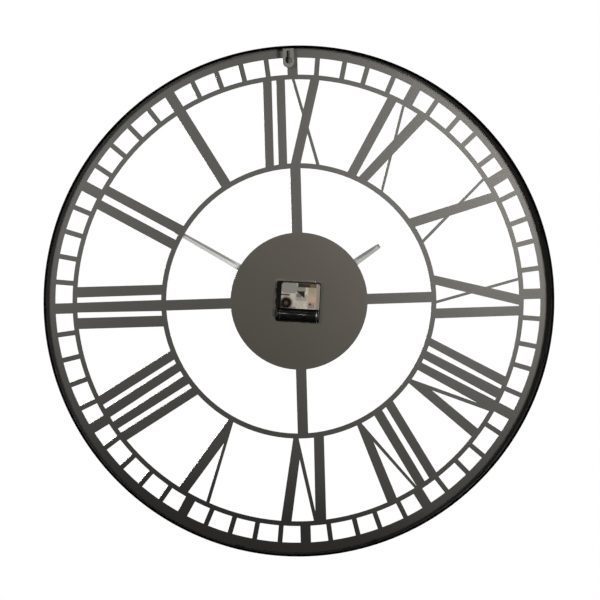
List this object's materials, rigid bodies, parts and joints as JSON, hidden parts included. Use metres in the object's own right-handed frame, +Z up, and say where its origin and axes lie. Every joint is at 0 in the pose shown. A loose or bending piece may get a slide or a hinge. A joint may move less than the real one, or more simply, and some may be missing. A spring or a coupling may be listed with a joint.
{
  "type": "wall clock",
  "caption": "Round open-work metal wall clock with cut-through Roman numerals, a deep hoop rim, keyhole hanger, silver hands and a quartz movement behind the centre disc.",
  "frame": {"origin": "on the hand shaft axis, midway between the cap nut at the front and the hoop's rear edge", "axes": "+Z up with 12 at the top, -Y the front of the dial, +Y towards the wall, +X to the right seen from the front"},
  "size_m": [0.635, 0.037, 0.635],
  "materials": {
    "dial_steel": "satin dark grey powder coat",
    "rim_steel": "satin black powder coat",
    "hand_metal": "brushed, slightly ridged",
    "black_plastic": "gloss black moulding",
    "label_foil": "satin silver label",
    "white_plastic": "natural acetal",
    "brass": "turned",
    "rubber": "matte",
    "bright_steel": "nickel plated",
    "stator_iron": "plain",
    "copper": "enamelled copper wire",
    "board": "brown laminate",
    "epoxy": "black resin",
    "magnet": "sintered magnet",
    "battery_wrap": "gloss black film"
  },
  "bodies": {
    "clock_frame": {"dial_plate": "dial_steel", "rim_hoop": "rim_steel", "rim_tack_welds": "rim_steel", "hanger_tab": "dial_steel", "hanger_weld_bead": "rim_steel", "movement_case": "black_plastic", "movement_front_cover": "black_plastic", "movement_label": "label_foil", "gear_plate": "white_plastic", "threaded_bushing": "brass", "rubber_washer": "rubber", "brass_washer": "brass", "hex_nut": "brass", "positive_contact": "bright_steel", "negative_contact": "bright_steel", "circuit_board": "board", "quartz_crystal": "bright_steel", "chip_blob": "epoxy", "coil_leads": "copper", "coil_bobbin": "white_plastic", "coil_winding": "copper", "coil_core": "stator_iron", "stator": "stator_iron", "intermediate_wheel_pin": "bright_steel"},
    "minute_works": {"minute_hand": "hand_metal", "minute_shaft": "white_plastic", "minute_hand_nut": "brass"},
    "hour_works": {"hour_hand": "hand_metal", "hour_wheel": "white_plastic", "hour_hand_collet": "brass"},
    "minute_wheel_body": {"minute_wheel": "white_plastic"},
    "time_setting": {"setting_stem": "white_plastic", "setting_knob": "black_plastic"},
    "rotor_body": {"rotor_magnet": "magnet", "rotor_pinion": "white_plastic"},
    "intermediate_body": {"intermediate_wheel": "white_plastic"},
    "seconds_body": {"seconds_wheel": "white_plastic"},
    "third_body": {"third_wheel": "white_plastic"},
    "centre_body": {"centre_wheel": "white_plastic"},
    "battery": {"battery_cell": "bright_steel", "battery_sleeve": "battery_wrap"}
  },
  "joints": [
    {"name": "minute_hand_turn", "type": "hinge", "parent": "clock_frame", "child": "minute_works", "pos_m": [0, 0, 0], "axis": [0, 1, 0], "continuous": true},
    {"name": "hour_hand_turn", "type": "hinge", "parent": "clock_frame", "child": "hour_works", "pos_m": [0, 0, 0], "axis": [0, 1, 0], "continuous": true},
    {"name": "minute_wheel_turn", "type": "hinge", "parent": "clock_frame", "child": "minute_wheel_body", "pos_m": [0.00872, 0, 0.00222], "axis": [0, 1, 0], "continuous": true},
    {"name": "setting_knob_turn", "type": "hinge", "parent": "clock_frame", "child": "time_setting", "pos_m": [0.01732, 0, -0.00044], "axis": [0, 1, 0], "continuous": true},
    {"name": "rotor_step", "type": "hinge", "parent": "clock_frame", "child": "rotor_body", "pos_m": [-0.00964, 0, -0.00082], "axis": [0, 1, 0], "continuous": true},
    {"name": "intermediate_wheel_turn", "type": "hinge", "parent": "clock_frame", "child": "intermediate_body", "pos_m": [-0.00489, 0, -0.00304], "axis": [0, 1, 0], "continuous": true},
    {"name": "seconds_wheel_turn", "type": "hinge", "parent": "clock_frame", "child": "seconds_body", "pos_m": [0, 0, 0], "axis": [0, 1, 0], "continuous": true},
    {"name": "third_wheel_turn", "type": "hinge", "parent": "clock_frame", "child": "third_body", "pos_m": [-0.00204, 0, 0.00765], "axis": [0, 1, 0], "continuous": true},
    {"name": "centre_wheel_turn", "type": "hinge", "parent": "clock_frame", "child": "centre_body", "pos_m": [0, 0, 0], "axis": [0, 1, 0], "continuous": true},
    {"name": "battery_lift_out", "type": "slide", "parent": "clock_frame", "child": "battery", "axis": [0, 1, 0], "range_m": [0, 0.03]}
  ],
  "couplings": [
    {"joint": "hour_hand_turn", "follows": "minute_hand_turn", "ratio": 0.083333},
    {"joint": "minute_wheel_turn", "follows": "minute_hand_turn", "ratio": -0.33333},
    {"joint": "setting_knob_turn", "follows": "minute_hand_turn", "ratio": 1},
    {"joint": "intermediate_wheel_turn", "follows": "rotor_step", "ratio": -0.16667},
    {"joint": "seconds_wheel_turn", "follows": "rotor_step", "ratio": 0.033333},
    {"joint": "third_wheel_turn", "follows": "rotor_step", "ratio": -0.0044444},
    {"joint": "centre_wheel_turn", "follows": "rotor_step", "ratio": 0.00055556}
  ]
}
